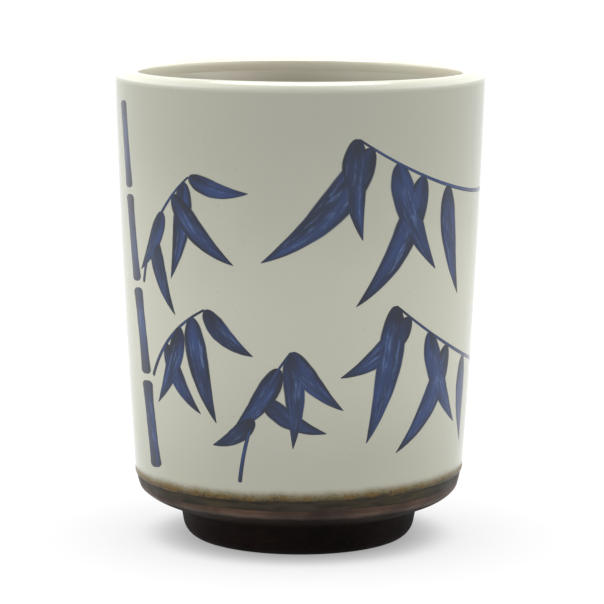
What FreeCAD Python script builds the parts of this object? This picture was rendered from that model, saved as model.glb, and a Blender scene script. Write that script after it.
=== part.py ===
import FreeCAD, Part
import math
import os

# Handleless stoneware tea cup, millimetres, +Z up.
# The origin is the centre of the plane that the foot ring stands on.
# Every clay and glaze piece is turned about Z; the brushwork lies on the outer glaze.

# ---- driving dimensions ----------------------------------------------------------
CUP_HEIGHT = 95.9
RIM_R = 37.5            # widest radius, where the lip starts to round over
LIP_START_Z = 94.4      # outside height where the wall ends and the lip begins
LIP_CREST_R = 36.1
MOUTH_R = 33.0          # free radius of the mouth
MOUTH_EDGE_Z = 95.1     # inside height where the lip's rounding ends
LINING_TOP_Z = 93.2     # inside height where lip and lining glazes meet

WALL_MID_R = 35.86
WALL_MID_Z = 52.0
WALL_LOW_R = 33.72      # outer radius at the lower end of the white glaze
HEM_TOP_Z = 14.9
HEM_BOTTOM_Z = 13.4
SKIRT_BOTTOM_Z = 11.4

FOOT_STAND_R = 20.8     # outer radius of the ring that touches the table
FOOT_SIDE_R = 23.9
FOOT_EDGE_Z = 3.4       # height of the rounding at the foot's outer edge
FOOT_EDGE_LEAN = 0.35   # the rounding leans in this much below the side
FOOT_FLARE = (24.2, 4.8)     # where the side starts to flare towards the shoulder
FOOT_ROOT_R = 24.85
FOOT_ROOT_Z = 6.35
FOOT_INNER_R = 17.6     # inner radius of the ring that touches the table
FOOT_INNER_EDGE_Z = 0.9
FOOT_INNER_LEAN = 0.5   # the recess widens this much from the floor down to its edge
RECESS_R = 16.2
RECESS_TOP_Z = 4.75     # underside of the floor, inside the foot

GLAZE = 0.4             # outer coat
LINING = 0.35           # inner coat
LIP_GLAZE = 0.5         # coat on the crest of the lip
SKIRT = 0.15            # thin coat below the hem
HEM_TOE = 0.24          # thickness of the hem's rounded lower edge
PAINT_DEPTH = 0.2       # cobalt brushwork, sunk into the outer glaze
PAINT_PROUD = 0.03      # and standing this far out of it
PAINT_MARGIN = 0.3      # the brushwork keeps this far from both ends of the coat

# Inside of the lining from the lip's glaze down to the centre of the floor.
LINING_LINE = [(MOUTH_R, LINING_TOP_Z), (32.1, 68.0), (31.0, 42.0), (29.0, 24.5),
               (23.0, 15.2), (11.5, 12.0), (0.0, 11.5)]
# Outside of the bare clay from the skirt down to the foot.
SHOULDER_LINE = [(33.0, SKIRT_BOTTOM_Z), (32.4, 10.2), (30.4, 8.7), (27.7, 7.5),
                 (FOOT_ROOT_R, FOOT_ROOT_Z)]

TURN_R = 36.0           # radius used to unroll the wall: s = TURN_R * angle from -Y
BRUSH_SAMPLES = 16      # points along each side of a brush stroke
PRISM_START_R = 15.0    # stroke outlines start this far from the axis
PRISM_LENGTH = 30.0     # and are pushed out this far, through the wall


# ---- turning helpers -------------------------------------------------------------
def at(r, z):
    return FreeCAD.Vector(r, 0, z)


def line(a, b):
    return Part.LineSegment(at(*a), at(*b)).toShape()


def arc(a, middle, b):
    return Part.Arc(at(*a), at(*middle), at(*b)).toShape()


def spline(points, start=None, end=None):
    curve = Part.BSplineCurve()
    vectors = [at(*p) for p in points]
    if start and end:
        curve.interpolate(Points=vectors, InitialTangent=at(*start), FinalTangent=at(*end))
    else:
        curve.interpolate(Points=vectors)
    return curve.toShape()


def quarter(a, corner, b):
    """A quarter of an ellipse from a to b that bulges towards corner."""
    centre = (a[0] + b[0] - corner[0], a[1] + b[1] - corner[1])
    middle = [centre[k] + (a[k] - centre[k] + b[k] - centre[k]) * math.sqrt(0.5) for k in (0, 1)]
    start = (corner[0] - a[0], corner[1] - a[1])
    end = (b[0] - corner[0], b[1] - corner[1])
    return spline([a, middle, b], start, end)


def turned(edges):
    wire = Part.Wire(Part.__sortEdges__(edges))
    return Part.Face(wire).revolve(FreeCAD.Vector(), FreeCAD.Vector(0, 0, 1), 360)


# ---- wall geometry ---------------------------------------------------------------
def circle_through(a, b, c):
    """Centre (r, z) and radius of the circle through three (r, z) points."""
    d = 2 * (a[0] * (b[1] - c[1]) + b[0] * (c[1] - a[1]) + c[0] * (a[1] - b[1]))
    sq = [p[0] ** 2 + p[1] ** 2 for p in (a, b, c)]
    r = (sq[0] * (b[1] - c[1]) + sq[1] * (c[1] - a[1]) + sq[2] * (a[1] - b[1])) / d
    z = (sq[0] * (c[0] - b[0]) + sq[1] * (a[0] - c[0]) + sq[2] * (b[0] - a[0])) / d
    return r, z, math.dist((r, z), a)


WALL_LOW = (WALL_LOW_R, HEM_TOP_Z)
WALL_MID = (WALL_MID_R, WALL_MID_Z)
WALL_TOP = (RIM_R, LIP_START_Z)
WALL_CIRCLE = circle_through(WALL_LOW, WALL_MID, WALL_TOP)


def wall_radius(z):
    """Outer radius of the white glaze at a height."""
    r, centre_z, radius = WALL_CIRCLE
    return r + math.sqrt(radius ** 2 - (z - centre_z) ** 2)


def wall_arc(low_z, high_z, out):
    """The wall's outline between two heights, moved outwards by out."""
    heights = [low_z + (high_z - low_z) * k / 4 for k in range(5)]
    return spline([(wall_radius(z) + out, z) for z in heights])


# ---- shared outlines -------------------------------------------------------------
CLAY_MOUTH_R = MOUTH_R + LINING
CLAY_WALL_TOP = (RIM_R - GLAZE, LIP_START_Z)
CLAY_CREST = (LIP_CREST_R + 0.1, CUP_HEIGHT - LIP_GLAZE)
CLAY_MOUTH = (CLAY_MOUTH_R, MOUTH_EDGE_Z - 0.2)
CLAY_LINING_TOP = (CLAY_MOUTH_R, LINING_TOP_Z)
CLAY_WALL_LOW = (WALL_LOW_R - GLAZE, HEM_TOP_Z)
CLAY_HEM_LOW = (WALL_LOW_R - GLAZE - 0.03, HEM_BOTTOM_Z)
HEM_LOW = (CLAY_HEM_LOW[0] + HEM_TOE, HEM_BOTTOM_Z)
HEM_BULGE = (WALL_LOW_R + 0.03, (HEM_TOP_Z + HEM_BOTTOM_Z) / 2 + 0.2)
SKIRT_TOP = (CLAY_HEM_LOW[0] + SKIRT, HEM_BOTTOM_Z)
SKIRT_LOW = SHOULDER_LINE[0]
CLAY_SKIRT_LOW = (SKIRT_LOW[0] - SKIRT, SKIRT_BOTTOM_Z)
FOOT_ROOT = SHOULDER_LINE[-1]
FLOOR_TOP_Z = LINING_LINE[-1][1]


def clay_lip_edges():
    return [quarter(CLAY_WALL_TOP, (CLAY_WALL_TOP[0], CLAY_CREST[1]), CLAY_CREST),
            quarter(CLAY_CREST, (CLAY_MOUTH_R, CLAY_CREST[1]), CLAY_MOUTH),
            line(CLAY_MOUTH, CLAY_LINING_TOP)]


def lining_outline(out):
    """The lining's inside line, moved by out into the clay: outwards on the wall,
    downwards on the floor."""
    wall_r, floor_r = 26.0, 30.0
    moved = [(r + out * min(1.0, r / wall_r), z - out * max(0.0, 1.0 - r / floor_r))
             for r, z in LINING_LINE]
    return spline(moved, (-0.03, -1.0), (-1.0, 0.0))


# ---- turned pieces ---------------------------------------------------------------
def clay_body():
    boss_corner = (RECESS_R, FOOT_ROOT_Z)
    boss_low = (RECESS_R, RECESS_TOP_Z)
    edges = [wall_arc(HEM_TOP_Z, LIP_START_Z, -GLAZE)] + clay_lip_edges()
    edges += [lining_outline(LINING), line((0, FLOOR_TOP_Z - LINING), (0, RECESS_TOP_Z)),
              line((0, RECESS_TOP_Z), boss_low), line(boss_low, boss_corner),
              line(boss_corner, FOOT_ROOT), spline(SHOULDER_LINE), line(SKIRT_LOW, CLAY_SKIRT_LOW),
              line(CLAY_SKIRT_LOW, CLAY_HEM_LOW), line(CLAY_HEM_LOW, CLAY_WALL_LOW)]
    return turned(edges)


def foot_ring():
    stand_out = (FOOT_STAND_R, 0)
    stand_in = (FOOT_INNER_R, 0)
    side = (FOOT_SIDE_R, FOOT_EDGE_Z)
    inner_low = (RECESS_R + FOOT_INNER_LEAN, FOOT_INNER_EDGE_Z)
    inner_top = (RECESS_R, FOOT_ROOT_Z)
    inner_boss = (RECESS_R, RECESS_TOP_Z)
    edges = [line(stand_in, stand_out), quarter(stand_out, (side[0] - FOOT_EDGE_LEAN, 0), side),
             arc(side, FOOT_FLARE, FOOT_ROOT), line(FOOT_ROOT, inner_top),
             line(inner_top, inner_boss), line(inner_boss, inner_low),
             quarter(inner_low, (inner_low[0] + 0.1, 0), stand_in)]
    return turned(edges)


def outer_glaze(painted):
    """The white coat, with a shallow bed for each painted group."""
    coat = turned([wall_arc(HEM_TOP_Z, LIP_START_Z, 0), line(WALL_TOP, CLAY_WALL_TOP),
                   wall_arc(HEM_TOP_Z, LIP_START_Z, -GLAZE), line(CLAY_WALL_LOW, WALL_LOW)])
    return coat.cut(painted)


def lip_glaze():
    crest = (LIP_CREST_R, CUP_HEIGHT)
    mouth = (MOUTH_R, MOUTH_EDGE_Z)
    lining_top = (MOUTH_R, LINING_TOP_Z)
    edges = [quarter(WALL_TOP, (RIM_R, CUP_HEIGHT), crest),
             quarter(crest, (MOUTH_R, CUP_HEIGHT), mouth), line(mouth, lining_top),
             line(lining_top, CLAY_LINING_TOP), line(CLAY_WALL_TOP, WALL_TOP)]
    return turned(edges + clay_lip_edges())


def inner_glaze():
    return turned([lining_outline(0), lining_outline(LINING),
                   line((MOUTH_R, LINING_TOP_Z), CLAY_LINING_TOP),
                   line((0, FLOOR_TOP_Z), (0, FLOOR_TOP_Z - LINING))])


def glaze_hem():
    return turned([arc(WALL_LOW, HEM_BULGE, HEM_LOW), line(HEM_LOW, CLAY_HEM_LOW),
                   line(CLAY_HEM_LOW, CLAY_WALL_LOW), line(CLAY_WALL_LOW, WALL_LOW)])


def glaze_skirt():
    middle = (SKIRT_TOP[0] - 0.08, (SKIRT_TOP[1] + SKIRT_LOW[1]) / 2)
    return turned([arc(SKIRT_TOP, middle, SKIRT_LOW), line(SKIRT_LOW, CLAY_SKIRT_LOW),
                   line(CLAY_SKIRT_LOW, CLAY_HEM_LOW), line(CLAY_HEM_LOW, SKIRT_TOP)])


# ---- brush strokes, drawn on the unrolled wall as (s, z) -------------------------
def curve_point(start, end, bend, t):
    """Point and unit normal of a stroke's centre line; bend is its sag over its length."""
    along = (end[0] - start[0], end[1] - start[1])
    pull = ((start[0] + end[0]) / 2 - along[1] * bend, (start[1] + end[1]) / 2 + along[0] * bend)
    point = [(1 - t) ** 2 * start[k] + 2 * t * (1 - t) * pull[k] + t * t * end[k] for k in (0, 1)]
    slope = [(1 - t) * (pull[k] - start[k]) + t * (end[k] - pull[k]) for k in (0, 1)]
    size = math.hypot(*slope)
    return point, (-slope[1] / size, slope[0] / size)


def leaf_width(t):
    """Round where the brush lands, long and pointed where it lifts."""
    return math.sin(math.pi * t ** 0.6) ** 0.85 if 0 < t < 1 else 0.0


def round_ends(t, share):
    edge = min(1.0, (1 - abs(2 * t - 1)) / share)
    return math.sqrt(max(0.0, 1 - (1 - edge) ** 2))


def stalk_width(t):
    return round_ends(t, 0.12) * (0.82 + 0.22 * (2 * t - 1) ** 4)


def twig_width(t):
    return round_ends(t, 0.04) * (1 - 0.5 * t)


WIDTHS = {"leaf": leaf_width, "stalk": stalk_width, "twig": twig_width}


def spray(start, end, bend, leaves):
    """A thin twig and its leaves: (share of the twig, angle from straight down,
    length, half width, bend), angles positive towards +s."""
    strokes = [("twig", start, end, bend, 0.5)]
    for share, angle, length, half_width, leaf_bend in leaves:
        knot = curve_point(start, end, bend, share)[0]
        a = math.radians(angle)
        tip = (knot[0] + length * math.sin(a), knot[1] - length * math.cos(a))
        strokes.append(("leaf", tuple(knot), tip, leaf_bend, half_width))
    return strokes


def stalk(foot, top, half_width, joints):
    """Bamboo stalk: one stroke for each length between joints, a bare gap at each joint."""
    gap = 0.6 / math.dist(foot, top)
    strokes = []
    for i in range(joints):
        low, high = i / joints + gap, (i + 1) / joints - gap
        a = tuple(foot[k] + (top[k] - foot[k]) * low for k in (0, 1))
        b = tuple(foot[k] + (top[k] - foot[k]) * high for k in (0, 1))
        strokes.append(("stalk", a, b, 0.015 * (-1) ** i, half_width * (1 - 0.06 * i)))
    return strokes


BRUSHWORK = {
    "bamboo_stalk_left": stalk((-36.0, 16.8), (-44.5, 91.0), 2.6, 4),
    "bamboo_stalk_rear": stalk((66.0, 16.8), (58.0, 91.0), 2.7, 4),
    "bamboo_spray_left_upper": spray((-37.2, 54.6), (-22.5, 77.0), 0.16, [
        (0.42, 20, 17, 2.2, -0.14), (0.62, -34, 15, 2.0, 0.14), (0.80, 46, 19, 2.5, -0.14),
        (0.94, -12, 20, 2.4, 0.10), (1.0, 78, 13, 1.9, -0.16)]),
    "bamboo_spray_left_lower": spray((-35.2, 36.0), (-19.5, 51.0), 0.16, [
        (0.40, 34, 16, 2.2, -0.16), (0.66, -26, 18, 2.3, 0.14), (0.84, 14, 21.5, 2.8, -0.10),
        (1.0, 50, 13.5, 2.2, -0.16)]),
    "bamboo_spray_front": spray((-12.5, 17.0), (-1.5, 43.5), 0.14, [
        (0.46, -58, 11, 1.9, 0.18), (0.62, 62, 15, 2.1, -0.16), (0.86, -38, 16.5, 2.4, 0.14),
        (0.98, 2, 19, 2.3, 0.08), (1.0, 42, 16, 2.2, -0.14)]),
    "bamboo_spray_right_upper": spray((57.0, 72.4), (11.0, 85.0), 0.17, [
        (0.50, 14, 23, 2.7, -0.12), (0.66, -30, 29, 3.2, 0.16), (0.80, 26, 24, 3.0, -0.14),
        (0.93, -44, 31, 3.5, 0.16), (1.0, 4, 20, 2.7, -0.12)]),
    "bamboo_spray_right_lower": spray((61.0, 36.2), (20.0, 52.0), 0.15, [
        (0.40, 6, 19, 2.5, -0.12), (0.60, -34, 25, 2.9, 0.16), (0.76, 30, 23, 2.8, -0.15),
        (0.90, -54, 19, 2.7, 0.16), (1.0, -12, 28, 3.2, 0.10)]),
    "bamboo_spray_rear": spray((64.9, 54.6), (90.0, 78.0), -0.16, [
        (0.34, -14, 17, 2.3, 0.12), (0.58, 38, 20, 2.6, -0.14), (0.76, -30, 24, 2.9, 0.15),
        (0.92, 14, 27, 3.1, -0.10), (1.0, 64, 18, 2.4, -0.16)]),
    "bamboo_spray_back": spray((128.0, 17.0), (117.0, 48.0), -0.14, [
        (0.46, 64, 17, 2.2, -0.18), (0.66, -56, 19, 2.5, 0.16), (0.88, 40, 23, 2.7, -0.14),
        (0.98, -6, 22, 2.5, 0.12), (1.0, -54, 18, 2.3, 0.18)]),
}


def stroke_prism(stroke, facing):
    """The stroke's outline in the plane facing the angle, pushed out through the wall."""
    kind, start, end, bend, half_width = stroke
    out = FreeCAD.Vector(math.sin(facing), -math.cos(facing), 0)
    side = FreeCAD.Vector(math.cos(facing), math.sin(facing), 0)

    def on_plane(s, z):
        across = wall_radius(z) * math.sin(s / TURN_R - facing)
        return out * PRISM_START_R + side * across + FreeCAD.Vector(0, 0, z)

    left, right = [], []
    for i in range(BRUSH_SAMPLES + 1):
        t = (1 - math.cos(math.pi * i / BRUSH_SAMPLES)) / 2
        point, normal = curve_point(start, end, bend, t)
        w = half_width * WIDTHS[kind](t) if 0 < i < BRUSH_SAMPLES else 0.0
        left.append(on_plane(point[0] + normal[0] * w, point[1] + normal[1] * w))
        right.append(on_plane(point[0] - normal[0] * w, point[1] - normal[1] * w))
    edges = []
    for points in (left, right):
        curve = Part.BSplineCurve()
        curve.interpolate(Points=points)
        edges.append(curve.toShape())
    return Part.Face(Part.Wire(edges)).extrude(out * PRISM_LENGTH)


def paint_skin():
    """The shell of the wall that the paint takes up."""
    low, high = HEM_TOP_Z + PAINT_MARGIN, LIP_START_Z - PAINT_MARGIN
    ends = [line((wall_radius(z) - PAINT_DEPTH, z), (wall_radius(z) + PAINT_PROUD, z))
            for z in (low, high)]
    return turned([wall_arc(low, high, -PAINT_DEPTH), wall_arc(low, high, PAINT_PROUD)] + ends)


def brushwork(strokes, skin):
    """One painted group: its strokes run together where they touch."""
    middle = [(stroke[1][0] + stroke[2][0]) / 2 for stroke in strokes]
    facing = (min(middle) + max(middle)) / 2 / TURN_R
    prisms = [stroke_prism(stroke, facing) for stroke in strokes]
    painted = prisms[0].multiFuse(prisms[1:]).common(skin)
    return Part.makeCompound(painted.Solids)


# ---- write every node ------------------------------------------------------------
def main():
    os.makedirs("parts", exist_ok=True)
    skin = paint_skin()
    painted = {name: brushwork(strokes, skin) for name, strokes in BRUSHWORK.items()}
    nodes = {"clay_body": clay_body(), "foot_ring": foot_ring(),
             "outer_glaze": outer_glaze(list(painted.values())), "lip_glaze": lip_glaze(),
             "inner_glaze": inner_glaze(), "glaze_hem": glaze_hem(), "glaze_skirt": glaze_skirt()}
    nodes.update(painted)
    for name, shape in nodes.items():
        box = shape.BoundBox
        print(f"{name}: valid {shape.isValid()}, solids {len(shape.Solids)}, "
              f"volume {shape.Volume:.1f}, z {box.ZMin:.2f} to {box.ZMax:.2f}")
        shape.exportStep(f"parts/{name}.step")


main()
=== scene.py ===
import math

import bpy
import bmesh
from mathutils import Matrix, Vector, noise


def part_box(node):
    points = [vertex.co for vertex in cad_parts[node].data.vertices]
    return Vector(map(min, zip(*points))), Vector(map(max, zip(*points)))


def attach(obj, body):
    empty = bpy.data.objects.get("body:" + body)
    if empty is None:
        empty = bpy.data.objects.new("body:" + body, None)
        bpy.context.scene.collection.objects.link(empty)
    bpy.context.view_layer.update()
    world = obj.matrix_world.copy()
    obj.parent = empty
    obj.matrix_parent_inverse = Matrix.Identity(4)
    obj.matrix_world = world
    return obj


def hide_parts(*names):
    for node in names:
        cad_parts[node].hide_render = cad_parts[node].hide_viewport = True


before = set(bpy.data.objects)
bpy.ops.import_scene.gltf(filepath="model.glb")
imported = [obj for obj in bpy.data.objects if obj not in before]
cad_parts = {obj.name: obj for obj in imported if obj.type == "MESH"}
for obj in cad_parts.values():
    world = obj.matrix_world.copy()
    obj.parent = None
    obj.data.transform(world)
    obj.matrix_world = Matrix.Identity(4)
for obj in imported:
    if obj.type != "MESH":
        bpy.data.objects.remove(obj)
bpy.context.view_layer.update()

# Handleless stoneware tea cup. Shapes are worked out in millimetres and stored in metres.
MM = 0.001


def lowest(node):
    """Lowest corner of a CAD node's box, in millimetres."""
    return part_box(node)[0] / MM


def highest(node):
    """Highest corner of a CAD node's box, in millimetres."""
    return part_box(node)[1] / MM


# ---- sizes read from the frame ----------------------------------------------------
HEM_TOP_Z, LIP_START_Z = lowest("outer_glaze").z, highest("outer_glaze").z
HEM_BOTTOM_Z, SKIRT_BOTTOM_Z = lowest("glaze_hem").z, lowest("glaze_skirt").z
RIM_R, CUP_HEIGHT = highest("lip_glaze").x, highest("lip_glaze").z
FOOT_ROOT_R, FOOT_ROOT_Z = highest("foot_ring").x, highest("foot_ring").z
LINING_BOTTOM_Z, LINING_TOP_Z = lowest("inner_glaze").z, highest("inner_glaze").z
RECESS_TOP_Z = lowest("clay_body").z

# ---- sizes that the boxes don't give ----------------------------------------------
WALL_LOW_R, WALL_MID_R, WALL_MID_Z = 33.72, 35.86, 52.0
GLAZE, LINING, SKIRT, PAINT = 0.4, 0.35, 0.15, 0.03
LIP_CREST_R, MOUTH_R, MOUTH_EDGE_Z = 36.1, 33.0, 95.1
FLOOR_TOP_Z = LINING_BOTTOM_Z + LINING
SKIRT_MID_R, SKIRT_BOTTOM_R = 33.25, 33.0
SHOULDER = [(32.4, 10.2), (30.4, 8.7), (27.7, 7.5)]
RECESS_DOME = 0.35      # the recess is this much higher at its middle
FOOT_STAND_R, FOOT_SIDE_R, FOOT_EDGE_Z, FOOT_EDGE_LEAN = 20.8, 23.9, 3.4, 0.35
FOOT_INNER_R, FOOT_INNER_EDGE_Z, FOOT_INNER_LEAN, RECESS_R = 17.6, 0.9, 0.5, 16.2
FOOT_INNER_EDGE_LEAN = 0.1
FOOT_FLARE = (24.2, 4.8)
HEM_SWELL, HEM_SWELL_DROP = 0.02, 0.55      # the bead's fullest place, this far below its top
HEM_TAPER, HEM_EDGE = 0.3, 0.21             # height of its tapering foot, and thickness there
CREST_GLAZE, CREST_SHIFT, MOUTH_GLAZE = 0.5, 0.1, 0.2
LINING_SIDE_R, LINING_FLOOR_R = 26.0, 30.0  # its thickness goes sideways outside the first,
                                            # and more and more downwards inside the second
HEM_TILT = 0.50         # the glaze line stands this much higher on the +X side
HEM_BOW = 0.30          # and this much higher on both sides than at the front
LINE_WAVES = ((0.16, 2.2, 40.0), (0.07, 7.0, 52.0))     # height, rate round the cup, noise seed
SHIFT_START_Z, SHIFT_FULL_Z = SKIRT_BOTTOM_Z - 2.5, HEM_BOTTOM_Z - 0.6
SHIFT_FADE_Z, SHIFT_END_Z = 16.5, 30.0      # the wall above doesn't follow the glaze line
TURN_R = 36.0           # unrolls the wall: s = TURN_R * angle from -Y
SEGMENTS = 320
TURNED_SHARP, PAINTED_SHARP = 35, 50        # edges with a sharper turn, in degrees, stay crisp

# depth and height of the features in millimetres, their rate round the cup, noise seed
WALL_UNEVENNESS = ((0.06, 42.0, 0.9, 3.1), (0.02, 5.5, 0.7, 11.7), (0.03, 15.0, 2.6, 27.3))

THROWING_RINGS = (0.10, 0.62, 0.7)          # depth, radians per millimetre of height, slant
RING_WANDER = (0.12, 9.0, 1.1, 70.0)        # depth, height, rate and seed, as on the wall
RING_ROOM = 0.22        # the lining is pulled in this much, so that the rings clear the clay
RINGS_FADE, RINGS_EDGE = 9.0, 1.0   # they start to fade and are gone this far below the mouth's edge
RINGS_START_R, RINGS_FULL_R = 6.0, 22.0


# ---- the wall, with the small unevenness of a hand-thrown pot ----------------------
def smooth(low, high, x):
    t = min(1.0, max(0.0, (x - low) / (high - low)))
    return t * t * (3 - 2 * t)


def wall_radius(z):
    """Outer radius of the white glaze at a height, before the unevenness."""
    half = (LIP_START_Z - HEM_TOP_Z) / 2
    middle = HEM_TOP_Z + half
    chord = WALL_LOW_R + (RIM_R - WALL_LOW_R) * (z - HEM_TOP_Z) / (2 * half)
    chord_mid = WALL_LOW_R + (RIM_R - WALL_LOW_R) * (WALL_MID_Z - HEM_TOP_Z) / (2 * half)
    bulge = (WALL_MID_R - chord_mid) / (1 - ((WALL_MID_Z - middle) / half) ** 2)
    return chord + bulge * (1 - ((z - middle) / half) ** 2)


def wander(angle, z, rate, seed):
    """Smooth noise from -1 to 1 that closes on itself round the cup."""
    return noise.noise(Vector((math.sin(angle) * rate + seed, math.cos(angle) * rate, z)))


def unevenness(angle, z):
    """Where the wall lies against its true circle, in millimetres: inside it, never outside."""
    return -sum(depth * (0.5 + 0.5 * wander(angle, z / height, rate, seed))
                for depth, height, rate, seed in WALL_UNEVENNESS)


def hem_shift(angle):
    """Height of the glaze line above its front: tilted, bowed and a little wavy."""
    wave = sum(height * wander(angle, 0.0, rate, seed) for height, rate, seed in LINE_WAVES)
    return HEM_TILT * math.sin(angle) + HEM_BOW * math.sin(angle) ** 2 + wave


def place(angle, r, z):
    """A point of the outside, moved by the unevenness and by the wavy glaze line."""
    r += unevenness(angle, z)
    near_line = smooth(SHIFT_START_Z, SHIFT_FULL_Z, z) * (1 - smooth(SHIFT_FADE_Z, SHIFT_END_Z, z))
    z += hem_shift(angle) * near_line
    return Vector((r * math.sin(angle), -r * math.cos(angle), z)) * MM


def place_inside(angle, r, z):
    """A point of the lining, with soft throwing rings that fade out on the floor."""
    amount = smooth(RINGS_START_R, RINGS_FULL_R, r)
    depth, pace, slant = THROWING_RINGS
    rings = depth * math.sin(z * pace + slant * math.sin(angle))
    depth, height, rate, seed = RING_WANDER
    rings += depth * wander(angle, z / height, rate, seed)
    r -= RING_ROOM * amount * smooth(MOUTH_EDGE_Z + RINGS_EDGE, MOUTH_EDGE_Z - RINGS_FADE, z)
    r += rings * amount * (1 - smooth(MOUTH_EDGE_Z - RINGS_FADE, MOUTH_EDGE_Z - RINGS_EDGE, z))
    return Vector((r * math.sin(angle), -r * math.cos(angle), z)) * MM


# ---- turned pieces -----------------------------------------------------------------
def quarter(a, corner, b, count=10):
    """A quarter of an ellipse from a to b that bulges towards corner."""
    centre = (a[0] + b[0] - corner[0], a[1] + b[1] - corner[1])
    points = []
    for k in range(count + 1):
        t = math.pi / 2 * k / count
        c, s = math.cos(t), math.sin(t)
        points.append(tuple(centre[i] + (a[i] - centre[i]) * c + (b[i] - centre[i]) * s
                            for i in (0, 1)))
    return points


def straight(a, b, count=2):
    return [tuple(a[i] + (b[i] - a[i]) * k / count for i in (0, 1)) for k in range(count + 1)]


def flowing(points, per_span):
    """A smooth curve through a few outline points."""
    ends = [tuple(2 * points[0][i] - points[1][i] for i in (0, 1))]
    ends += list(points) + [tuple(2 * points[-1][i] - points[-2][i] for i in (0, 1))]
    out = []
    for n in range(1, len(ends) - 2):
        p0, p1, p2, p3 = ends[n - 1:n + 3]
        for k in range(per_span):
            t = k / per_span
            out.append(tuple(0.5 * (2 * p1[i] + (p2[i] - p0[i]) * t
                                    + (2 * p0[i] - 5 * p1[i] + 4 * p2[i] - p3[i]) * t * t
                                    + (3 * p1[i] - p0[i] - 3 * p2[i] + p3[i]) * t ** 3)
                             for i in (0, 1)))
    return out + [points[-1]]


def wall_line(low, high, out, count):
    heights = [low + (high - low) * k / count for k in range(count + 1)]
    return [(wall_radius(z) + out, z) for z in heights]


TOUCHING, ON_AXIS = 1e-4, 1e-6              # points this close are one; this near the axis is on it


def without_repeats(loop):
    kept = []
    for point in loop:
        if not kept or math.dist(point, kept[-1]) > TOUCHING:
            kept.append(point)
    if math.dist(kept[0], kept[-1]) < TOUCHING:
        kept.pop()
    return kept


def link_object(name, data):
    thing = bpy.data.objects.new(name, data)
    bpy.context.scene.collection.objects.link(thing)
    return thing


def finish_mesh(name, vertices, faces, sharp, labels=(), marks=()):
    """A piece with smooth faces; each vertex keeps one value of its mark for each label."""
    mesh = bpy.data.meshes.new(name)
    mesh.from_pydata(vertices, [], faces)
    for k, label in enumerate(labels):
        layer = mesh.attributes.new(label, "FLOAT", "POINT")
        layer.data.foreach_set("value", [mark[k] for mark in marks])
    work = bmesh.new()
    work.from_mesh(mesh)
    bmesh.ops.remove_doubles(work, verts=work.verts, dist=1e-8)
    bmesh.ops.recalc_face_normals(work, faces=work.faces)
    work.to_mesh(mesh)
    work.free()
    mesh.shade_smooth()
    mesh.set_sharp_from_angle(angle=math.radians(sharp))
    return link_object(name, mesh)


def turned(name, loop, spot):
    """A closed outline swept round the axis; spot(angle, r, z) places each point."""
    loop = without_repeats(loop)
    count = len(loop)
    vertices = []
    for n in range(SEGMENTS):
        angle = 2 * math.pi * n / SEGMENTS
        vertices += [spot(angle, r, z) for r, z in loop]
    faces = []
    for n in range(SEGMENTS):
        here, there = n * count, (n + 1) % SEGMENTS * count
        for k in range(count):
            m = (k + 1) % count
            if loop[k][0] < ON_AXIS and loop[m][0] < ON_AXIS:
                continue
            ring = [here + k, there + k, there + m, here + m]
            if loop[k][0] < ON_AXIS:
                ring = [here + k, there + m, here + m]
            if loop[m][0] < ON_AXIS:
                ring = [here + k, there + k, here + m]
            faces.append(ring)
    return finish_mesh(name, vertices, faces, TURNED_SHARP)


CLAY_LOW_R = WALL_LOW_R - GLAZE
HEM_FOOT_R = CLAY_LOW_R + HEM_EDGE
SKIRT_TOP_R = CLAY_LOW_R - 0.03             # inner radius of the brown glaze at its top
FOOT_ROOT = (FOOT_ROOT_R, FOOT_ROOT_Z)
CREST = (LIP_CREST_R, CUP_HEIGHT)
MOUTH = (MOUTH_R, MOUTH_EDGE_Z)
INNER_LINE = [(MOUTH_R, LINING_TOP_Z), (32.1, 68.0), (31.0, 42.0), (29.0, 24.5),
              (23.0, 15.2), (11.5, 12.0), (0.0, FLOOR_TOP_Z)]


def lining_line(out):
    curve = flowing(INNER_LINE, 14)
    return [(max(0.0, r + out * min(1.0, r / LINING_SIDE_R)),
             z - out * max(0.0, 1.0 - r / LINING_FLOOR_R)) for r, z in curve]


def clay_lip_line():
    crest = (LIP_CREST_R + CREST_SHIFT, CUP_HEIGHT - CREST_GLAZE)
    mouth = (MOUTH_R + LINING, MOUTH_EDGE_Z - MOUTH_GLAZE)
    top = (RIM_R - GLAZE, LIP_START_Z)
    return (quarter(top, (top[0], crest[1]), crest)
            + quarter(crest, (mouth[0], crest[1]), mouth)
            + straight(mouth, (mouth[0], LINING_TOP_Z)))


def outer_coat():
    return (wall_line(HEM_TOP_Z, LIP_START_Z, 0, 110)
            + wall_line(HEM_TOP_Z, LIP_START_Z, -GLAZE, 110)[::-1])


def lip_roll():
    return (quarter((RIM_R, LIP_START_Z), (RIM_R, CUP_HEIGHT), CREST, 24)
            + quarter(CREST, (MOUTH_R, CUP_HEIGHT), MOUTH, 14)
            + straight(MOUTH, (MOUTH_R, LINING_TOP_Z), 3) + clay_lip_line()[::-1])


def lining_coat():
    return lining_line(0) + lining_line(LINING)[::-1]


def hem_bead():
    full = (WALL_LOW_R + HEM_SWELL, HEM_TOP_Z - HEM_SWELL_DROP)
    taper = (WALL_LOW_R - HEM_SWELL, HEM_BOTTOM_Z + HEM_TAPER)
    outer = flowing([(WALL_LOW_R, HEM_TOP_Z), full, taper, (HEM_FOOT_R, HEM_BOTTOM_Z)], 6)
    return outer + straight((CLAY_LOW_R, HEM_BOTTOM_Z), (CLAY_LOW_R, HEM_TOP_Z), 6)


def skirt_band():
    middle = (SKIRT_MID_R, (HEM_BOTTOM_Z + SKIRT_BOTTOM_Z) / 2)
    outer = flowing([(SKIRT_TOP_R + SKIRT, HEM_BOTTOM_Z), middle, (SKIRT_BOTTOM_R, SKIRT_BOTTOM_Z)], 8)
    return outer + behind_skirt()


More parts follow.
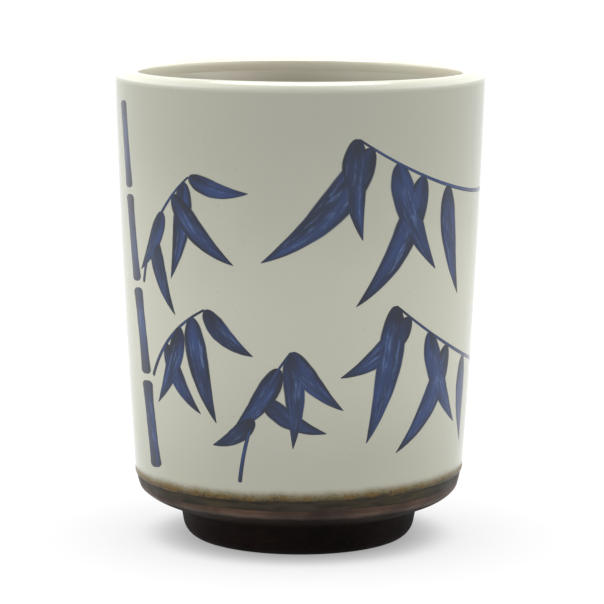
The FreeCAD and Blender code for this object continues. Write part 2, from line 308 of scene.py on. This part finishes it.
def behind_skirt():
    return straight((SKIRT_BOTTOM_R - SKIRT, SKIRT_BOTTOM_Z), (SKIRT_TOP_R, HEM_BOTTOM_Z), 8)


def clay_outline():
    shoulder = flowing([(SKIRT_BOTTOM_R, SKIRT_BOTTOM_Z), *SHOULDER, FOOT_ROOT], 10)
    under = straight(FOOT_ROOT, (RECESS_R, FOOT_ROOT_Z), 4)
    under += straight((RECESS_R, RECESS_TOP_Z), (0.0, RECESS_TOP_Z + RECESS_DOME), 10)
    wall = wall_line(HEM_TOP_Z, LIP_START_Z, -GLAZE, 60)
    return (lining_line(LINING)[::-1] + clay_lip_line()[::-1] + wall[::-1] + behind_skirt()[::-1]
            + shoulder + under)


def foot_outline():
    stand = straight((FOOT_INNER_R, 0.0), (FOOT_STAND_R, 0.0), 3)
    side_low = (FOOT_SIDE_R, FOOT_EDGE_Z)
    edge = quarter((FOOT_STAND_R, 0.0), (FOOT_SIDE_R - FOOT_EDGE_LEAN, 0.0), side_low, 14)
    side = flowing([side_low, FOOT_FLARE, FOOT_ROOT], 6)
    inner_low = (RECESS_R + FOOT_INNER_LEAN, FOOT_INNER_EDGE_Z)
    inner = straight((RECESS_R, FOOT_ROOT_Z), inner_low, 8)
    inner_corner = (inner_low[0] + FOOT_INNER_EDGE_LEAN, 0.0)
    return (stand + edge + side + straight(FOOT_ROOT, (RECESS_R, FOOT_ROOT_Z), 4) + inner
            + quarter(inner_low, inner_corner, (FOOT_INNER_R, 0.0), 6))


# ---- brush strokes, laid out on the unrolled wall as (s, z) -------------------------
def curve_point(start, end, bend, t):
    """Point and unit normal of a stroke's centre line, which bows by half of bend over its length."""
    along = (end[0] - start[0], end[1] - start[1])
    pull = ((start[0] + end[0]) / 2 - along[1] * bend, (start[1] + end[1]) / 2 + along[0] * bend)
    point = [(1 - t) ** 2 * start[k] + 2 * t * (1 - t) * pull[k] + t * t * end[k] for k in (0, 1)]
    slope = [(1 - t) * (pull[k] - start[k]) + t * (end[k] - pull[k]) for k in (0, 1)]
    size = math.hypot(*slope)
    return point, (-slope[1] / size, slope[0] / size)


def leaf_width(t):
    """Round where the brush lands, long and pointed where it lifts."""
    return math.sin(math.pi * t ** 0.6) ** 0.85 if 0 < t < 1 else 0.0


def round_ends(t, share):
    edge = min(1.0, (1 - abs(2 * t - 1)) / share)
    return math.sqrt(max(0.0, 1 - (1 - edge) ** 2))


def stalk_width(t):
    return round_ends(t, 0.12) * (0.82 + 0.22 * (2 * t - 1) ** 4)


def twig_width(t):
    return round_ends(t, 0.04) * (1 - 0.5 * t)


WIDTHS = {"leaf": leaf_width, "stalk": stalk_width, "twig": twig_width}


def spray(start, end, bend, leaves):
    """A thin twig and its leaves: (share of the twig, angle from straight down,
    length, half width, bend), angles positive towards +s."""
    strokes = [("twig", start, end, bend, 0.5)]
    for share, angle, length, half_width, leaf_bend in leaves:
        knot = curve_point(start, end, bend, share)[0]
        a = math.radians(angle)
        tip = (knot[0] + length * math.sin(a), knot[1] - length * math.cos(a))
        strokes.append(("leaf", tuple(knot), tip, leaf_bend, half_width))
    return strokes


STALK_GAP = 1.2         # bare glaze between two lengths of a stalk


def stalk(foot, top, half_width, joints):
    """Bamboo stalk: one stroke for each length between joints, a bare gap at each joint."""
    gap = STALK_GAP / 2 / math.dist(foot, top)
    strokes = []
    for i in range(joints):
        low, high = i / joints + gap, (i + 1) / joints - gap
        a = tuple(foot[k] + (top[k] - foot[k]) * low for k in (0, 1))
        b = tuple(foot[k] + (top[k] - foot[k]) * high for k in (0, 1))
        strokes.append(("stalk", a, b, 0.015 * (-1) ** i, half_width * (1 - 0.06 * i)))
    return strokes


BRUSHWORK = {
    "bamboo_stalk_left": stalk((-36.0, 16.8), (-44.5, 91.0), 2.6, 4),
    "bamboo_stalk_rear": stalk((66.0, 16.8), (58.0, 91.0), 2.7, 4),
    "bamboo_spray_left_upper": spray((-37.2, 54.6), (-22.5, 77.0), 0.16, [
        (0.42, 20, 17, 2.2, -0.14), (0.62, -34, 15, 2.0, 0.14), (0.80, 46, 19, 2.5, -0.14),
        (0.94, -12, 20, 2.4, 0.10), (1.0, 78, 13, 1.9, -0.16)]),
    "bamboo_spray_left_lower": spray((-35.2, 36.0), (-19.5, 51.0), 0.16, [
        (0.40, 34, 16, 2.2, -0.16), (0.66, -26, 18, 2.3, 0.14), (0.84, 14, 21.5, 2.8, -0.10),
        (1.0, 50, 13.5, 2.2, -0.16)]),
    "bamboo_spray_front": spray((-12.5, 17.0), (-1.5, 43.5), 0.14, [
        (0.46, -58, 11, 1.9, 0.18), (0.62, 62, 15, 2.1, -0.16), (0.86, -38, 16.5, 2.4, 0.14),
        (0.98, 2, 19, 2.3, 0.08), (1.0, 42, 16, 2.2, -0.14)]),
    "bamboo_spray_right_upper": spray((57.0, 72.4), (11.0, 85.0), 0.17, [
        (0.50, 14, 23, 2.7, -0.12), (0.66, -30, 29, 3.2, 0.16), (0.80, 26, 24, 3.0, -0.14),
        (0.93, -44, 31, 3.5, 0.16), (1.0, 4, 20, 2.7, -0.12)]),
    "bamboo_spray_right_lower": spray((61.0, 36.2), (20.0, 52.0), 0.15, [
        (0.40, 6, 19, 2.5, -0.12), (0.60, -34, 25, 2.9, 0.16), (0.76, 30, 23, 2.8, -0.15),
        (0.90, -54, 19, 2.7, 0.16), (1.0, -12, 28, 3.2, 0.10)]),
    "bamboo_spray_rear": spray((64.9, 54.6), (90.0, 78.0), -0.16, [
        (0.34, -14, 17, 2.3, 0.12), (0.58, 38, 20, 2.6, -0.14), (0.76, -30, 24, 2.9, 0.15),
        (0.92, 14, 27, 3.1, -0.10), (1.0, 64, 18, 2.4, -0.16)]),
    "bamboo_spray_back": spray((128.0, 17.0), (117.0, 48.0), -0.14, [
        (0.46, 64, 17, 2.2, -0.18), (0.66, -56, 19, 2.5, 0.16), (0.88, 40, 23, 2.7, -0.14),
        (0.98, -6, 22, 2.5, 0.12), (1.0, -54, 18, 2.3, 0.18)]),
}


STEPS_ALONG, STEPS_ACROSS = 64, 14
STROKE_TRIM = 0.004             # share of a stroke left off at each end, where it has no width
PAINT_UNDER, PAINT_EDGE = -0.02, 0.004      # height of its back and of its edges over the glaze
LIFT_LOWEST, LIFT_STEP, LIFT_LEVELS = 0.35, 0.11, 6     # shares of PAINT
EDGE_ROUGHNESS = 0.05
BRUSH_LABELS = ("brush_along", "brush_across", "brush_seed", "brush_end")


def ragged(stroke_seed, t, side):
    """Small unevenness of a brushed edge, as a share of the half width."""
    return 1 + EDGE_ROUGHNESS * noise.noise(Vector((t * 9.0, side * 3.0, stroke_seed * 7.3)))


def stroke_mesh(stroke, seed, vertices, faces, marks):
    """One closed, domed ribbon of paint that follows the wall; where strokes cross, one is higher."""
    kind, start, end, bend, half_width = stroke
    length = math.dist(start, end)
    lift = PAINT * (LIFT_LOWEST + LIFT_STEP * (seed % LIFT_LEVELS))
    first = len(vertices)
    for i in range(STEPS_ALONG + 1):
        t = (1 - math.cos(math.pi * i / STEPS_ALONG)) / 2
        t = STROKE_TRIM + (1 - 2 * STROKE_TRIM) * t
        point, normal = curve_point(start, end, bend, t)
        for under in (False, True):
            for j in range(STEPS_ACROSS + 1):
                v = 2 * j / STEPS_ACROSS - 1
                w = half_width * WIDTHS[kind](t) * ragged(seed, t, math.copysign(1, v)) * v
                s, z = point[0] + normal[0] * w, point[1] + normal[1] * w
                height = PAINT_UNDER if under else PAINT_EDGE + lift * (1 - abs(v) ** 3)
                vertices.append(place(s / TURN_R, wall_radius(z) + height, z))
                marks.append((t * length, v, seed * 3.7, min(t, 1 - t) * length))
    row = 2 * (STEPS_ACROSS + 1)
    across = STEPS_ACROSS + 1
    for i in range(STEPS_ALONG):
        a, b = first + i * row, first + (i + 1) * row
        for j in range(STEPS_ACROSS):
            faces.append((a + j, a + j + 1, b + j + 1, b + j))
            faces.append((a + across + j + 1, a + across + j, b + across + j, b + across + j + 1))
        faces.append((a + across, a, b, b + across))
        faces.append((a + across - 1, a + row - 1, b + row - 1, b + across - 1))
    for a, flip in ((first, False), (first + STEPS_ALONG * row, True)):
        for j in range(STEPS_ACROSS):
            cap = [a + j, a + across + j, a + across + j + 1, a + j + 1]
            faces.append(cap[::-1] if flip else cap)


def painted(name, strokes, seed):
    vertices, faces, marks = [], [], []
    for n, stroke in enumerate(strokes):
        stroke_mesh(stroke, seed + n, vertices, faces, marks)
    return finish_mesh(name, vertices, faces, PAINTED_SHARP, BRUSH_LABELS, marks)


# ---- materials ---------------------------------------------------------------------
def srgb(r, g, b):
    """Linear colour for a display colour given from 0 to 255."""
    def linear(c):
        c /= 255
        return c / 12.92 if c <= 0.04045 else ((c + 0.055) / 1.055) ** 2.4
    return (linear(r), linear(g), linear(b), 1.0)


class Nodes:
    """Short calls for building a node tree."""

    def __init__(self, tree):
        self.tree = tree

    def feed(self, socket, value):
        """Gives an input its value, or a link where the value is another node's output."""
        if isinstance(value, bpy.types.NodeSocket):
            self.tree.links.new(value, socket)
        else:
            socket.default_value = value

    def add(self, kind, inputs=(), **settings):
        node = self.tree.nodes.new(kind)
        for key, value in settings.items():
            setattr(node, key, value)
        for key, value in dict(inputs).items():
            self.feed(node.inputs[key], value)
        return node

    def math(self, operation, a, b=0.0, c=0.0):
        return self.add("ShaderNodeMath", {0: a, 1: b, 2: c}, operation=operation).outputs[0]

    def spread(self, value, low, high, to_low=0.0, to_high=1.0):
        """Maps low..high to to_low..to_high with soft ends, held outside that range."""
        return self.add("ShaderNodeMapRange",
                        {0: value, 1: low, 2: high, 3: to_low, 4: to_high},
                        interpolation_type="SMOOTHSTEP").outputs[0]

    def point(self):
        """Place on the piece, in millimetres."""
        here = self.add("ShaderNodeTexCoord").outputs["Object"]
        return self.scaled(here, 1 / MM)

    def scaled(self, vector, by):
        return self.add("ShaderNodeVectorMath", {0: vector, "Scale": by}, operation="SCALE").outputs[0]

    def split(self, vector):
        return self.add("ShaderNodeSeparateXYZ", {0: vector}).outputs

    def wobble(self, here, size, detail, reach):
        """Noise from -reach to reach, to make a border uneven."""
        return self.math("MULTIPLY_ADD", self.noise(here, size, detail), 2 * reach, -reach)

    def noise(self, vector, size, detail=3.0, rough=0.5, stretch=(1, 1, 1)):
        """Noise from 0 to 1 whose features are about size millimetres."""
        scaled = self.add("ShaderNodeVectorMath", {0: vector, 1: stretch},
                          operation="MULTIPLY").outputs[0]
        return self.add("ShaderNodeTexNoise", {"Vector": scaled, "Scale": 1.0 / size,
                                               "Detail": detail, "Roughness": rough}).outputs["Fac"]

    def mix(self, share, a, b):
        node = self.add("ShaderNodeMix", data_type="RGBA")
        for key, value in ((0, share), (6, a), (7, b)):
            self.feed(node.inputs[key], value)
        return node.outputs[2]

    def ramp(self, value, stops):
        node = self.add("ShaderNodeValToRGB", {0: value})
        marks = node.color_ramp.elements
        while len(marks) < len(stops):
            marks.new(0.5)
        for mark, (position, colour) in zip(marks, stops):
            mark.position = position
            mark.color = colour
        return node.outputs[0]


class Finish(Nodes):
    """One material: the node tree that feeds its shader."""

    def __init__(self, name, roughness, **shader):
        self.material = bpy.data.materials.new(name)
        self.material.use_nodes = True
        super().__init__(self.material.node_tree)
        self.shader = self.tree.nodes["Principled BSDF"]
        self.shader.inputs["Roughness"].default_value = roughness
        for key, value in shader.items():
            self.shader.inputs[key.replace("_", " ")].default_value = value

    def bump(self, height, depth_mm):
        node = self.add("ShaderNodeBump", {"Height": height, "Distance": depth_mm * MM})
        self.tree.links.new(node.outputs[0], self.shader.inputs["Normal"])

    def colour(self, socket):
        self.feed(self.shader.inputs["Base Color"], socket)

    def rough(self, socket):
        self.feed(self.shader.inputs["Roughness"], socket)


WHITE = (0.368, 0.374, 0.308, 1.0)
WHITE_WARM = (0.361, 0.354, 0.282, 1.0)
# Painted light: the wall's white where more light falls, half-way up
WHITE_PAINTED_LIGHT = (0.422, 0.424, 0.351, 1.0)
# Painted shade: the wall's white towards the top
WHITE_PAINTED_SHADE = (0.337, 0.342, 0.280, 1.0)
# Painted highlight: the white of the lip, where the top light falls
LIP_PAINTED_HIGHLIGHT = (0.500, 0.504, 0.425, 1.0)
LINING_WHITE = (0.528, 0.519, 0.424, 1.0)
LINING_PINK = (0.523, 0.479, 0.389, 1.0)
OCHRE = srgb(106, 97, 70)
OCHRE_RICH = srgb(98, 75, 32)
OCHRE_DARK = srgb(72, 62, 42)
SKIRT_BROWN = srgb(55, 50, 39)
SKIRT_DARK = srgb(36, 32, 25)
CLAY_RED = srgb(82, 61, 47)
CLAY_DARK = srgb(42, 30, 25)
# Painted shade: the black under the shoulder
SHADE_BLACK = srgb(9, 6, 5)
CLAY_SAND = srgb(100, 80, 66)
FOOT_BROWN = srgb(24, 15, 12)
FOOT_DARK = srgb(12, 8, 7)


def line_height(n, here):
    """Height above the glaze line in millimetres: the line is tilted, bowed and uneven."""
    x, _, z = n.split(here)
    side = n.math("DIVIDE", x, WALL_LOW_R)
    tilt = n.math("MULTIPLY", side, n.math("MULTIPLY_ADD", side, HEM_BOW, HEM_TILT))
    flat = n.math("SUBTRACT", z, HEM_TOP_Z)
    waves = n.math("ADD", n.wobble(here, 7.0, 2.0, 0.45), n.wobble(here, 1.1, 3.0, 0.25))
    return n.math("ADD", n.math("SUBTRACT", flat, tilt), waves)


def glaze_colour(n, here):
    """Grey-white glaze: painted highlight on the lip, painted light half-way up and painted
    shade towards the top; it thins to ochre at the line and to brown below it."""
    height = line_height(n, here)
    z = n.split(here)[2]
    level = n.math("ADD", z, n.wobble(here, 16.0, 2.0, 7.0))
    # Painted light and shade: lighter up to half-way, darker towards the top, for how the light falls
    # on the wall
    up = n.spread(level, HEM_TOP_Z + 2.0, 42.0)
    down = n.spread(level, 48.0, LIP_START_Z - 6.0, 1.0, 0.0)
    body = n.mix(n.spread(n.noise(here, 24.0, 2.0), 0.35, 0.7, 0.0, 0.55), WHITE, WHITE_WARM)
    body = n.mix(up, body, WHITE_PAINTED_LIGHT)
    body = n.mix(down, WHITE_PAINTED_SHADE, body)
    # Painted highlight: whiter on the lip
    body = n.mix(n.spread(z, LIP_START_Z - 0.9, LIP_START_Z + 0.4), body, LIP_PAINTED_HIGHLIGHT)
    freckle = n.spread(n.noise(here, 0.5, 1.0), 0.735, 0.79, 0.0, 0.30)
    body = n.mix(freckle, body, OCHRE)
    share = n.math("DIVIDE", n.math("ADD", height, 2.85), 4.0)
    ochre = n.ramp(share, [(0.16, SKIRT_BROWN), (0.26, SKIRT_DARK), (0.33, SKIRT_DARK),
                           (0.42, OCHRE_DARK), (0.58, OCHRE)])
    ochre = n.mix(n.spread(n.noise(here, 3.0, 3.0), 0.45, 0.65, 0.0, 0.7), ochre, OCHRE_RICH)
    speck = n.spread(n.noise(here, 0.42, 2.0), 0.58, 0.66, 0.0, 0.7)
    ochre = n.mix(speck, ochre, CLAY_DARK)
    return n.mix(n.spread(height, -0.75, 1.15), ochre, body)


def glaze_ripple(n, here):
    n.bump(n.noise(here, 3.2, 2.0), 0.012)


def white_glaze():
    n = Finish("white_glaze", 0.09, IOR=1.5)
    here = n.point()
    n.colour(glaze_colour(n, here))
    n.rough(n.spread(n.noise(here, 9.0, 2.0), 0.3, 0.7, 0.07, 0.13))
    glaze_ripple(n, here)
    return n.material


def lining_colour(n, here):
    """Warm white, with a painted highlight where the glaze rolls over the lip and painted shade below
    it.
    """
    colour = n.mix(n.spread(n.noise(here, 18.0, 3.0), 0.3, 0.7, 0.0, 0.8), LINING_WHITE, LINING_PINK)
    z = n.split(here)[2]
    # Painted shade below the lip and painted highlight on it, for how the top light falls there
    painted_shade = n.spread(z, LINING_TOP_Z - 2.6, LINING_TOP_Z + 0.4, 0.80, 1.0)
    white = n.spread(z, LINING_TOP_Z - 0.3, MOUTH_EDGE_Z + 0.3, 1.0, 1.30)
    return n.scaled(colour, n.math("MULTIPLY", painted_shade, white))


def lining_glaze():
    n = Finish("lining_glaze", 0.12, IOR=1.5)
    here = n.point()
    n.colour(lining_colour(n, here))
    n.bump(n.noise(here, 2.8, 2.0), 0.012)
    return n.material


def lip_glaze():
    """The thick roll of glaze on the lip: the wall's colour outside, the lining's inside."""
    n = Finish("lip_glaze", 0.10, IOR=1.5)
    here = n.point()
    x, y, _ = n.split(here)
    radius = n.math("SQRT", n.math("MULTIPLY_ADD", x, x, n.math("MULTIPLY", y, y)))
    inside = n.spread(radius, MOUTH_R + 0.2, MOUTH_R + 1.4, 1.0, 0.0)
    n.colour(n.mix(inside, glaze_colour(n, here), lining_colour(n, here)))
    glaze_ripple(n, here)
    return n.material


def ochre_glaze():
    n = Finish("ochre_glaze", 0.35, IOR=1.5, Specular_IOR_Level=0.15)
    here = n.point()
    n.colour(glaze_colour(n, here))
    n.bump(n.noise(here, 0.8, 3.0), 0.03)
    return n.material


def brown_glaze():
    n = Finish("thin_brown_glaze", 0.45, IOR=1.45, Specular_IOR_Level=0.12)
    here = n.point()
    bands = n.noise(here, 1.6, 3.0, stretch=(0.25, 0.25, 1.6))
    patch = n.noise(here, 5.0, 3.0)
    colour = n.mix(n.spread(bands, 0.35, 0.7), SKIRT_BROWN, SKIRT_DARK)
    colour = n.mix(n.spread(patch, 0.45, 0.75, 0.0, 0.4), colour, OCHRE_DARK)
    x, _, z = n.split(here)
    edge = n.math("ADD", z, n.wobble(here, 2.0, 3.0, 0.25))
    low = n.math("SUBTRACT", edge, n.math("MULTIPLY", x, HEM_TILT / WALL_LOW_R))
    colour = n.mix(n.spread(low, SKIRT_BOTTOM_Z, SKIRT_BOTTOM_Z + 0.4, 0.7, 0.0), colour, CLAY_DARK)
    n.colour(colour)
    n.rough(n.spread(patch, 0.3, 0.7, 0.38, 0.55))
    n.bump(n.noise(here, 0.5, 4.0), 0.05)
    return n.material


SHADE_DULLING = 0.9      # share of the clay's sheen that the painted shade takes away
SHOULDER_SHADE_TOP_Z = 10.1


def bare_clay(name, light, dark, roughness, grain, sheen, shade_top=None):
    """Fired stoneware: turning lines, sandy grain, and, given a top height, painted shade below it:
    black, with less sheen.
    """
    n = Finish(name, roughness, IOR=1.45, Specular_IOR_Level=sheen)
    here = n.point()
    lines = n.noise(here, 0.8, 3.0, stretch=(0.12, 0.12, 1.8))
    flash = n.noise(here, 9.0, 3.0)
    sand = n.noise(here, 0.35, 4.0, 0.7)
    colour = n.mix(n.spread(flash, 0.3, 0.72), light, dark)
    colour = n.mix(n.spread(lines, 0.35, 0.7, 0.0, 0.55), colour, dark)
    colour = n.mix(n.spread(sand, 0.62, 0.75, 0.0, 0.4), colour, CLAY_SAND)
    # Painted shade under the shoulder, where the overhang shades it: black and with less sheen below
    # the top height
    if shade_top is not None:
        level = n.math("ADD", n.split(here)[2], n.wobble(here, 4.0, 2.0, 0.4))
        ink_wash_and_painted_shade = n.spread(level, shade_top - 1.1, shade_top, 0.86, 0.0)
        colour = n.mix(ink_wash_and_painted_shade, colour, SHADE_BLACK)
        dulled = n.math("MULTIPLY_ADD", ink_wash_and_painted_shade, -SHADE_DULLING * sheen, sheen)
        n.feed(n.shader.inputs["Specular IOR Level"], dulled)
    n.colour(colour)
    n.rough(n.spread(flash, 0.3, 0.7, roughness - 0.08, roughness + 0.08))
    n.bump(n.math("ADD", n.math("MULTIPLY", lines, 0.6), sand), grain)
    return n.material


COBALT_DARK = srgb(8, 20, 40)
COBALT_DEEP = srgb(14, 32, 64)
COBALT_MID = srgb(26, 50, 96)
COBALT_LIGHT = srgb(72, 96, 140)


def cobalt_paint():
    """Brushed cobalt: hair streaks along the stroke, pooled dark ends, soft thin edges."""
    n = Finish("cobalt", 0.09, IOR=1.5)
    here = n.point()
    along, across, seed, end = (n.add("ShaderNodeAttribute", attribute_name=label).outputs["Fac"]
                                for label in BRUSH_LABELS)
    stroke = n.add("ShaderNodeCombineXYZ", {0: n.math("MULTIPLY", along, 0.10),
                                            1: n.math("MULTIPLY", across, 1.8), 2: seed}).outputs[0]
    hairs = n.noise(stroke, 0.45, 4.0, 0.6)
    ink_wash_and_painted_shade = n.noise(stroke, 1.6, 2.0)
    side = n.math("ABSOLUTE", across)
    pool = n.spread(end, 0.3, 6.0, 0.20, 0.0)
    rim = n.spread(side, 0.50, 0.85, 0.0, 0.12)
    tone = n.math("SUBTRACT", n.math("ADD", ink_wash_and_painted_shade, 0.02), n.math("ADD", pool, rim))
    blue = n.ramp(tone, [(0.26, COBALT_DARK), (0.44, COBALT_DEEP), (0.66, COBALT_MID)])
    thin = n.math("SUBTRACT", hairs, n.math("ADD", n.math("MULTIPLY", pool, 0.8),
                                            n.math("MULTIPLY", rim, 1.2)))
    streak = n.spread(thin, 0.50, 0.72, 0.0, 0.75)
    blue = n.mix(streak, blue, COBALT_LIGHT)
    n.colour(n.mix(n.spread(side, 0.88, 1.0), blue, glaze_colour(n, here)))
    glaze_ripple(n, here)
    return n.material


# ---- put the pieces on the frame ----------------------------------------------------
def settle(piece, node, material):
    piece.data.materials.clear()
    piece.data.materials.append(material)
    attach(piece, "root")
    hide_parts(node)


settle(turned("glaze_coat", outer_coat(), place), "outer_glaze", white_glaze())
settle(turned("lip_roll", lip_roll(), place), "lip_glaze", lip_glaze())
settle(turned("lining", lining_coat(), place_inside), "inner_glaze", lining_glaze())
settle(turned("hem_bead", hem_bead(), place), "glaze_hem", ochre_glaze())
settle(turned("skirt_band", skirt_band(), place), "glaze_skirt", brown_glaze())
settle(turned("thrown_body", clay_outline(), place), "clay_body",
       bare_clay("stoneware", CLAY_RED, CLAY_DARK, 0.55, 0.06, 0.20, SHOULDER_SHADE_TOP_Z))
settle(turned("turned_foot", foot_outline(), place), "foot_ring",
       bare_clay("dark_stoneware", FOOT_BROWN, FOOT_DARK, 0.6, 0.04, 0.04))

cobalt = cobalt_paint()
for count, (node, strokes) in enumerate(BRUSHWORK.items()):
    settle(painted("painted_" + node, strokes, 10 * count), node, cobalt)


# ---- floor, light and camera --------------------------------------------------------
def pale_floor():
    """A pale table that glows softly, with a painted shadow: it glows less where the cup stands."""
    reach = 6.0
    glow_in_painted_shadow, glow_far = 0.34, 0.67
    mesh = bpy.data.meshes.new("floor")
    mesh.from_pydata([(-reach, -reach, 0), (reach, -reach, 0), (reach, reach, 0), (-reach, reach, 0)],
                     [], [(0, 1, 2, 3)])
    floor = link_object("floor", mesh)
    n = Finish("pale_floor", 0.9, Base_Color=(0.19, 0.19, 0.19, 1), Specular_IOR_Level=0.0,
               Emission_Color=(1, 1, 1, 1))
    away = n.add("ShaderNodeVectorMath", {0: n.point()}, operation="LENGTH").outputs["Value"]
    # Painted shadow: the glow fades near the foot
    glow = n.spread(away, FOOT_STAND_R - 1.0, FOOT_STAND_R + 12.0, glow_in_painted_shadow, glow_far)
    n.feed(n.shader.inputs["Emission Strength"], glow)
    mesh.materials.append(n.material)


def overhead_light(strength, spread_angle):
    lamp = bpy.data.lights.new("overhead", "SUN")
    lamp.energy = strength
    lamp.angle = spread_angle
    link_object("overhead", lamp)


def studio_world(left, right, behind):
    """Wide soft light from both sides and a little from behind, on a white surround."""
    world = bpy.data.worlds.new("studio")
    bpy.context.scene.world = world
    world.use_nodes = True
    n = Nodes(world.node_tree)
    around = n.add("ShaderNodeTexCoord").outputs["Generated"]
    x, y, z = n.split(around)
    side = n.math("MULTIPLY_ADD", x, (right - left) / 2, (right + left) / 2)
    low = n.math("SUBTRACT", 1.0, n.math("ABSOLUTE", z))
    side = n.math("MULTIPLY", n.math("MULTIPLY", side, low), n.math("MULTIPLY", x, x))
    back = n.math("MAXIMUM", y, 0.0)
    light = n.math("MULTIPLY_ADD", n.math("MULTIPLY", back, back), behind, side)
    seen = n.add("ShaderNodeLightPath").outputs["Is Camera Ray"]
    background = n.tree.nodes["Background"].inputs
    n.feed(background["Color"], (1, 1, 1, 1))
    n.feed(background["Strength"], n.math("MAXIMUM", light, seen))


def photograph_camera():
    """Eye level a little above the mouth, far enough away to flatten the ellipses."""
    distance, height, aside = 621.9, 140.4, 0.53
    lens, pitch, roll = 182.9, 8.444, 0.247
    data = bpy.data.cameras.new("camera")
    data.lens = lens
    data.sensor_width = 36.0
    data.clip_start, data.clip_end = 0.05, 50.0
    camera = link_object("camera", data)
    look_down = Matrix.Rotation(math.radians(90 - pitch), 4, "X")
    lean = Matrix.Rotation(math.radians(roll), 4, "Z")
    place_eye = Matrix.Translation(Vector((aside, -distance, height)) * MM)
    camera.matrix_world = place_eye @ look_down @ lean
    bpy.context.scene.camera = camera


pale_floor()
overhead_light(4.8, math.radians(60))
studio_world(left=4.4, right=3.8, behind=1.1)
photograph_camera()
bpy.context.scene.view_settings.view_transform = "Standard"
